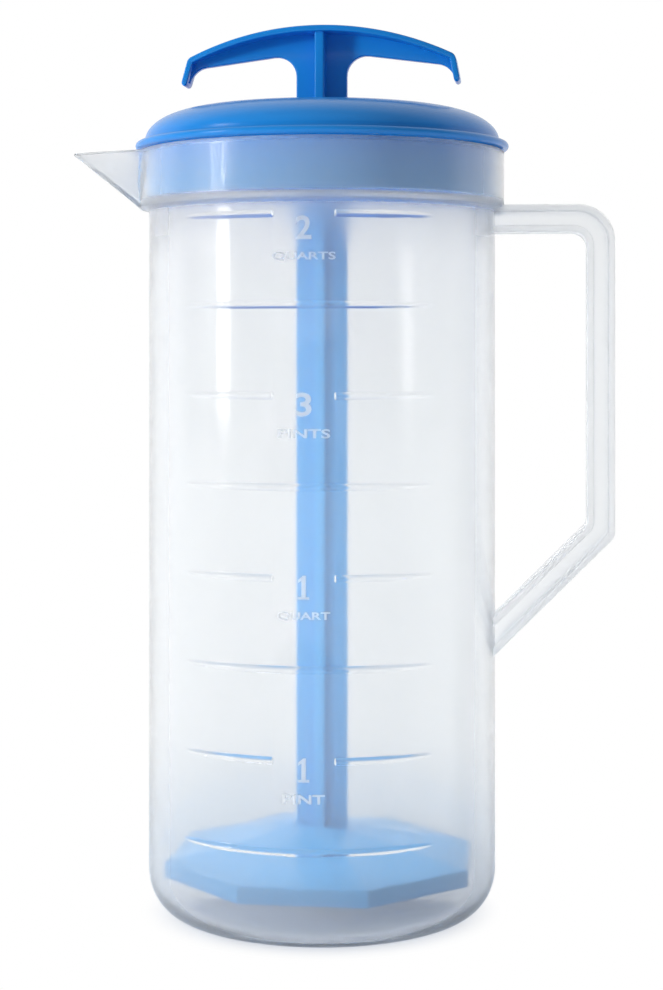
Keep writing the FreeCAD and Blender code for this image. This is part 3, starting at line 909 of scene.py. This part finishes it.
plungerSkins = turned([gripFlange(), webPlate(), crossPlate(), pegHalf(1), pegHalf(-1)],
                      stem["turn"])
plungerBar = makePiece("plunger_grip_and_stem", plungerSkins, bluePlastic, 32)
declare(plungerBar, "plunger", "blue_plastic", "plunger_grip", "plunger_stem")
print("plunger made")


disc = {
    "apothem": 46.7,
    "bottom": 12.6,
    "edgeTop": 17.8,
    "top": 25.5,
    "wall": 1.7,
    "hubRadius": 9.0,
    "hubBottom": 8.5,
    "bore": 5.1,
    "round": 0.5,
    "hubRow": 7.5,
    "facetRows": (16, 26, 36),
}


# distance of an eight-sided outline from its middle, along each angle, one side facing -Y
def octagonRadius(angles, apothem):
    step = math.pi / 4
    within = (angles + math.pi / 2 + step / 2) % step - step / 2
    return apothem / np.cos(within)


# rows (share, size, height): share 0 is a circle of that radius, 1 an octagon of that apothem
def discRows():
    a, e, wall = disc["apothem"], disc["round"], disc["wall"]
    slope = (disc["top"] - disc["edgeTop"]) / (a - disc["hubRadius"])
    drop = wall * math.sqrt(1 + slope ** 2)

    def facet(size, lowered):
        return (1, size, disc["edgeTop"] + slope * (a - size) - lowered)

    rows = [(0, x, disc["top"]) for x in (disc["bore"] + 0.3, disc["hubRow"],
                                          disc["hubRadius"] - 0.5)]
    rows += [facet(s, 0) for s in (disc["hubRadius"] + 1.0, *disc["facetRows"], a - 2 * e)]
    rows += [(1, a - 0.6 * e, disc["edgeTop"] - 0.02), (1, a - 0.15 * e, disc["edgeTop"] - 0.5 * e),
             (1, a, disc["edgeTop"] - 1.3 * e), (1, a, disc["bottom"] + e),
             (1, a - 0.3 * e, disc["bottom"] + 0.2 * e), (1, a - e, disc["bottom"]),
             (1, a - wall + 0.3, disc["bottom"]), (1, a - wall, disc["bottom"] + 0.3)]
    rows += [facet(s, drop) for s in (a - wall, *disc["facetRows"][::-1], disc["hubRadius"] + 1.5)]
    rows += [(0, disc["hubRadius"], disc["top"] - drop - 1.2),
             (0, disc["hubRadius"], disc["hubBottom"] + 0.4),
             (0, disc["hubRadius"] - 0.4, disc["hubBottom"]),
             (0, disc["bore"] + 0.3, disc["hubBottom"]),
             (0, disc["bore"], disc["hubBottom"] + 0.4), (0, disc["bore"], disc["top"] - 0.4)]
    return rows


# the disc's skin: each row is an octagon or a circle, of its own size
def discGrid():
    degrees = np.unique(np.concatenate([np.arange(0, 360, 2.5), np.arange(22.5, 360, 45) - 0.6,
                                        np.arange(22.5, 360, 45) + 0.6]))
    angles = np.radians(degrees)
    octagon = octagonRadius(angles, 1.0)
    rows = []
    for share, size, height in discRows():
        r = size * (octagon if share else 1.0) * np.ones_like(angles)
        rows.append(ringRow(angles, r, height))
    return np.stack(rows)


mixingDisc = makePiece("mixing_paddle_disc", turned([skin(discGrid(), "wrap")], stem["turn"]),
                       bluePlastic, 30)
declare(mixingDisc, "plunger", "blue_plastic", "mixing_disc")
print("disc made")


studio = {
    "floorSize": 6.0,
    "floorHeight": -0.0002,
    "floorRoughness": 0.9,
    # painted light: the floor's pale blue tint stands in for the blue light the disc throws onto the
    # floor under the jug and its heel
    "floorColourWithPaintedBlueLight": (0.76, 0.87, 1.0),
    "floorFade": (0.03, 0.058, 0.0),
    "floorFadeBehind": (0.05, 0.32, 0.3),
    "frontLevel": 0.13,
    "topLevel": 0.55,
    "topSpan": (0.1, 0.9),
    "backLevel": 1.0,
    "backSpan": (0.0, 0.6),
    "mirrorSpan": (-0.1, 0.3),
    "keyPower": 8.2,
    "keyColour": (1.0, 0.97, 0.93),
    "keyPlace": (-1.13, -0.642, 0.37),
    "keySize": (0.16, 0.16),
    "sheenPower": 4.2,
    "sheenPlace": (-1.13, -0.642, 0.42),
    "sheenSize": (0.20, 0.60),
    "sheenColour": (1.0, 0.97, 0.93),
    "glazePower": 0.5,
    "glazePlace": (-1.18, -0.67, 0.43),
    "glazeSize": (0.52, 0.62),
    "glazeColour": (1.0, 0.93, 0.85),
    "fillPower": 0.35,
    "fillColour": (1.0, 0.94, 0.86),
    "fillPlace": (1.12, -0.63, 0.34),
    "fillSize": (0.06, 0.5),
    "glowCount": 6,
    "glowPower": 0.026,
    "glowSize": (0.020, 0.18),
    "glowRadius": 0.052,
    "glowHeight": 0.118,
    "cameraPlace": (0.06335, -0.6461, 0.1791),
    "cameraTurn": 5.6,
    "lens": 74.0,
    "sensor": 36.0,
    "shift": (0.0095, -0.1523),
}


def mathNode(nodes, links, operation, first, second):
    node = nodes.new("ShaderNodeMath")
    node.operation = operation
    links.new(first, node.inputs[0])
    links.new(second, node.inputs[1])
    return node.outputs[0]


# smooth step of a value from one level to another
def stepNode(nodes, links, value, start, end, low, high):
    node = nodes.new("ShaderNodeMapRange")
    node.interpolation_type = "SMOOTHSTEP"
    for name, number in (("From Min", start), ("From Max", end), ("To Min", low), ("To Max", high)):
        node.inputs[name].default_value = number
    links.new(value, node.inputs["Value"])
    return node.outputs["Result"]


def makeFloor():
    half = studio["floorSize"] / 2
    mesh = bpy.data.meshes.new("floor")
    corners = [(x, y, studio["floorHeight"])
               for x, y in ((-half, -half), (half, -half), (half, half), (-half, half))]
    mesh.from_pydata(corners, [], [(0, 1, 2, 3)])
    material = bpy.data.materials.new("floorPaper")
    material.use_nodes = True
    nodes, links = material.node_tree.nodes, material.node_tree.links
    shader = nodes["Principled BSDF"]
    # the floor's colour holds a painted blue tint for the disc's blue light under the jug
    shader.inputs["Base Color"].default_value = studio["floorColourWithPaintedBlueLight"] + (1,)
    shader.inputs["Roughness"].default_value = studio["floorRoughness"]
    shader.inputs["Specular IOR Level"].default_value = 0.0
    # away from the jug the floor fades to the white of the background
    place, length = nodes.new("ShaderNodeTexCoord"), nodes.new("ShaderNodeVectorMath")
    white, mix = nodes.new("ShaderNodeEmission"), nodes.new("ShaderNodeMixShader")
    length.operation = "LENGTH"
    links.new(place.outputs["Object"], length.inputs[0])
    path = nodes.new("ShaderNodeLightPath")
    seen = []
    for span, kinds in ((studio["floorFade"], ("Is Camera Ray",)),
                        (studio["floorFadeBehind"], ("Is Glossy Ray", "Is Transmission Ray"))):
        fade = stepNode(nodes, links, length.outputs["Value"], span[0], span[1], span[2], 1.0)
        for kind in kinds:
            seen.append(mathNode(nodes, links, "MULTIPLY", fade, path.outputs[kind]))
    either = mathNode(nodes, links, "MAXIMUM", seen[1], seen[2])
    links.new(mathNode(nodes, links, "MAXIMUM", seen[0], either), mix.inputs[0])
    links.new(shader.outputs[0], mix.inputs[1])
    links.new(white.outputs[0], mix.inputs[2])
    links.new(mix.outputs[0], nodes["Material Output"].inputs["Surface"])
    mesh.materials.append(material)
    floor = bpy.data.objects.new("floor", mesh)
    scene.collection.objects.link(floor)


# soft light from all round, brightest from the white background behind the jug and weakest from
# the front, where the camera stands. Glossy rays see the white only where it is, behind
def makeWorld():
    world = bpy.data.worlds.new("studio")
    world.use_nodes = True
    nodes, links = world.node_tree.nodes, world.node_tree.links
    light, white, mix = (nodes["Background"], nodes.new("ShaderNodeBackground"),
                         nodes.new("ShaderNodeMixShader"))
    place, split = nodes.new("ShaderNodeTexCoord"), nodes.new("ShaderNodeSeparateXYZ")
    links.new(place.outputs["Generated"], split.inputs[0])
    front = studio["frontLevel"]
    back, top = (stepNode(nodes, links, split.outputs[axis], *studio[side + "Span"], front,
                          studio[side + "Level"]) for axis, side in (("Y", "back"), ("Z", "top")))
    links.new(mathNode(nodes, links, "MAXIMUM", back, top), light.inputs["Color"])
    white.inputs["Color"].default_value = (1, 1, 1, 1)
    path = nodes.new("ShaderNodeLightPath")
    clear = mathNode(nodes, links, "MAXIMUM", path.outputs["Is Camera Ray"],
                     path.outputs["Is Transmission Ray"])
    behind = stepNode(nodes, links, split.outputs["Y"], *studio["mirrorSpan"], 0.0, 1.0)
    mirrored = mathNode(nodes, links, "MULTIPLY", behind, path.outputs["Is Glossy Ray"])
    links.new(mathNode(nodes, links, "MAXIMUM", clear, mirrored), mix.inputs[0])
    links.new(light.outputs[0], mix.inputs[1])
    links.new(white.outputs[0], mix.inputs[2])
    links.new(mix.outputs[0], nodes["World Output"].inputs["Surface"])
    scene.world = world


# an upright rectangular lamp that faces the jug's axis, its size in metres and power in watts
def makeLamp(name, place, size, power, colour=(1, 1, 1)):
    light = bpy.data.lights.new(name, "AREA")
    light.color = colour
    light.shape = "RECTANGLE"
    light.size, light.size_y = size
    light.energy = power
    lamp = bpy.data.objects.new(name, light)
    lamp.location = place
    lamp.rotation_euler = (math.pi / 2, 0, math.atan2(place[1], place[0]) + math.pi / 2)
    scene.collection.objects.link(lamp)
    return lamp


# the milky wall scatters light inwards: narrow lamps just inside it face the stem, unseen
def makeGlow():
    for i in range(studio["glowCount"]):
        angle = tau * (i + 0.25) / studio["glowCount"]
        place = (studio["glowRadius"] * math.cos(angle), studio["glowRadius"] * math.sin(angle),
                 studio["glowHeight"])
        lamp = makeLamp("glowLamp", place, studio["glowSize"], studio["glowPower"])
        lamp.visible_camera = lamp.visible_glossy = lamp.visible_transmission = False


def makeCamera():
    camera = bpy.data.objects.new("camera", bpy.data.cameras.new("camera"))
    camera.location = studio["cameraPlace"]
    camera.rotation_euler = (math.pi / 2, 0, math.radians(studio["cameraTurn"]))
    camera.data.sensor_width = studio["sensor"]
    camera.data.lens = studio["lens"]
    camera.data.shift_x, camera.data.shift_y = studio["shift"]
    scene.collection.objects.link(camera)
    scene.camera = camera


makeFloor()
makeWorld()
# the key and the fill light the plastic unseen, while the sheen and the glaze are also mirrored in
# it: the sheen as the bright upright band, the glaze as the soft light round it
for lampName, mirrored in (("key", False), ("fill", False), ("sheen", True), ("glaze", True)):
    lamp = makeLamp(lampName + "Lamp", studio[lampName + "Place"], studio[lampName + "Size"],
                    studio[lampName + "Power"], studio[lampName + "Colour"])
    lamp.visible_glossy = lamp.visible_transmission = mirrored
makeGlow()
makeCamera()
scene.view_settings.view_transform = "Standard"
scene.cycles.transparent_max_bounces = 24
print("studio made")
